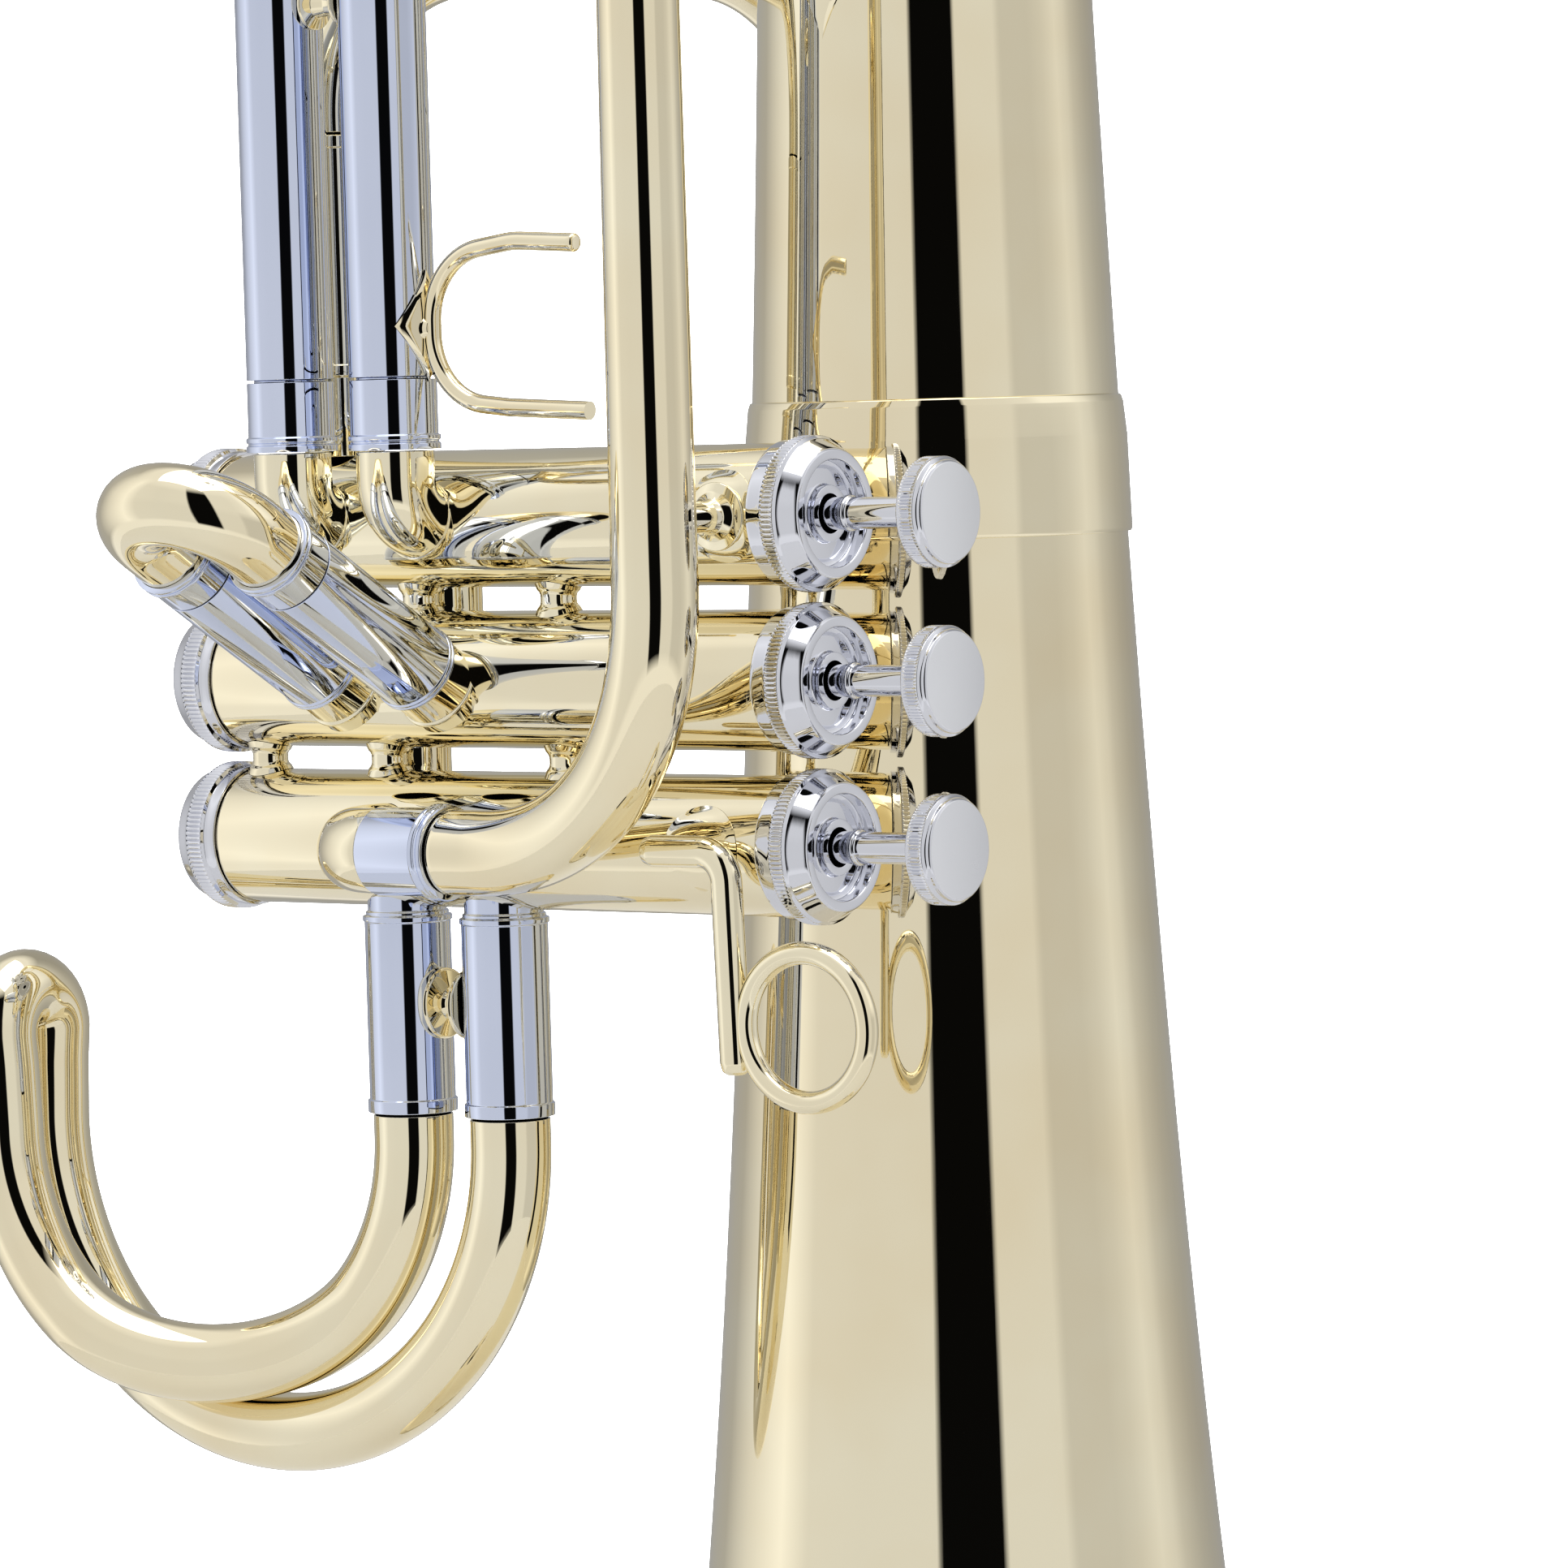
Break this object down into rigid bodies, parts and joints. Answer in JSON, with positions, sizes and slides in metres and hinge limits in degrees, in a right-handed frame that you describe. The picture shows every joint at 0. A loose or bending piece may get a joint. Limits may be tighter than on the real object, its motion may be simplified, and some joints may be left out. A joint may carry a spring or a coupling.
{
  "type": "marching baritone horn",
  "caption": "Forward-bell baritone-size brass horn with three piston valves, pull-out slides, finger ring and removable mouthpiece.",
  "frame": {"origin": "centre of the bounding box at the plane of the bell rim, on which the horn stands", "axes": "+Z from the bell rim towards the mouthpiece along the bell, +X from the valve casings' bottom caps towards the finger buttons, +Y from the leadpipe side towards the ascending branch"},
  "size_m": [0.3108, 0.2824, 0.7735],
  "materials": {
    "lacquered_brass": "polished",
    "nickel_silver": "polished",
    "silver_plate": "polished"
  },
  "bodies": {
    "horn": {"ascending_branch": "lacquered_brass", "back_bow": "lacquered_brass", "bell": "lacquered_brass", "bell_band": "lacquered_brass", "bell_brace": "lacquered_brass", "bottom_bow": "lacquered_brass", "bottom_cap_1": "nickel_silver", "bottom_cap_2": "nickel_silver", "bottom_cap_3": "nickel_silver", "casing_stay": "lacquered_brass", "descending_branch": "lacquered_brass", "finger_ring": "lacquered_brass", "first_elbow_a": "lacquered_brass", "first_elbow_b": "lacquered_brass", "first_inner_a": "nickel_silver", "first_inner_b": "nickel_silver", "inlet_elbow": "lacquered_brass", "leadpipe": "lacquered_brass", "leadpipe_brace": "lacquered_brass", "leadpipe_ferrule": "nickel_silver", "lower_stay": "lacquered_brass", "mouthpiece_receiver": "nickel_silver", "outlet_sleeve": "lacquered_brass", "second_sleeve_a": "nickel_silver", "second_sleeve_b": "nickel_silver", "spacer_12_a": "lacquered_brass", "spacer_12_b": "lacquered_brass", "spacer_23_a": "lacquered_brass", "spacer_23_b": "lacquered_brass", "spacer_23_c": "lacquered_brass", "third_brace": "lacquered_brass", "third_sleeve_a": "nickel_silver", "third_sleeve_b": "nickel_silver", "top_cap_1": "nickel_silver", "top_cap_2": "nickel_silver", "top_cap_3": "nickel_silver", "valve_casing_1": "lacquered_brass", "valve_casing_2": "lacquered_brass", "valve_casing_3": "lacquered_brass", "windway_link_12": "lacquered_brass", "windway_link_23": "lacquered_brass"},
    "valve_1": {"piston_1": "nickel_silver", "valve_stem_1": "nickel_silver", "finger_button_1": "nickel_silver"},
    "valve_2": {"piston_2": "nickel_silver", "valve_stem_2": "nickel_silver", "finger_button_2": "nickel_silver"},
    "valve_3": {"piston_3": "nickel_silver", "valve_stem_3": "nickel_silver", "finger_button_3": "nickel_silver"},
    "first_slide": {"first_sleeve_a": "nickel_silver", "first_sleeve_b": "nickel_silver", "first_crook": "lacquered_brass", "first_brace": "lacquered_brass", "thumb_saddle": "lacquered_brass"},
    "second_slide": {"second_crook": "lacquered_brass"},
    "third_slide": {"third_crook": "lacquered_brass"},
    "main_tuning_slide": {"tuning_slide": "lacquered_brass"},
    "water_key_lever": {"water_key": "nickel_silver"},
    "mouthpiece_piece": {"mouthpiece": "silver_plate"}
  },
  "joints": [
    {"name": "valve_1_press", "type": "slide", "parent": "horn", "child": "valve_1", "axis": [-1, 0, 0], "range_m": [0, 0.017], "stiffness_N_per_m": 60, "springref_m": -0.03},
    {"name": "valve_2_press", "type": "slide", "parent": "horn", "child": "valve_2", "axis": [-1, 0, 0], "range_m": [0, 0.017], "stiffness_N_per_m": 60, "springref_m": -0.03},
    {"name": "valve_3_press", "type": "slide", "parent": "horn", "child": "valve_3", "axis": [-1, 0, 0], "range_m": [0, 0.017], "stiffness_N_per_m": 60, "springref_m": -0.03},
    {"name": "first_slide_pull", "type": "slide", "parent": "horn", "child": "first_slide", "axis": [0, 0, 1], "range_m": [0, 0.04]},
    {"name": "second_slide_pull", "type": "slide", "parent": "horn", "child": "second_slide", "axis": [0, -0.866, 0.5], "range_m": [0, 0.025]},
    {"name": "third_slide_pull", "type": "slide", "parent": "horn", "child": "third_slide", "axis": [0, 0, -1], "range_m": [0, 0.02]},
    {"name": "main_tuning_slide_pull", "type": "slide", "parent": "horn", "child": "main_tuning_slide", "axis": [0, 0, 1], "range_m": [0, 0.028]},
    {"name": "water_key_lift", "type": "hinge", "parent": "main_tuning_slide", "child": "water_key_lever", "pos_m": [-0.04408, -0.00577, 0.5732], "axis": [0.9266, -0.376, 0], "range_deg": [0, 12], "stiffness_Nm_per_rad": 0.05, "springref_deg": -28.65},
    {"name": "mouthpiece_pull", "type": "slide", "parent": "horn", "child": "mouthpiece_piece", "axis": [0, 0, 1], "range_m": [0, 0.03]}
  ]
}
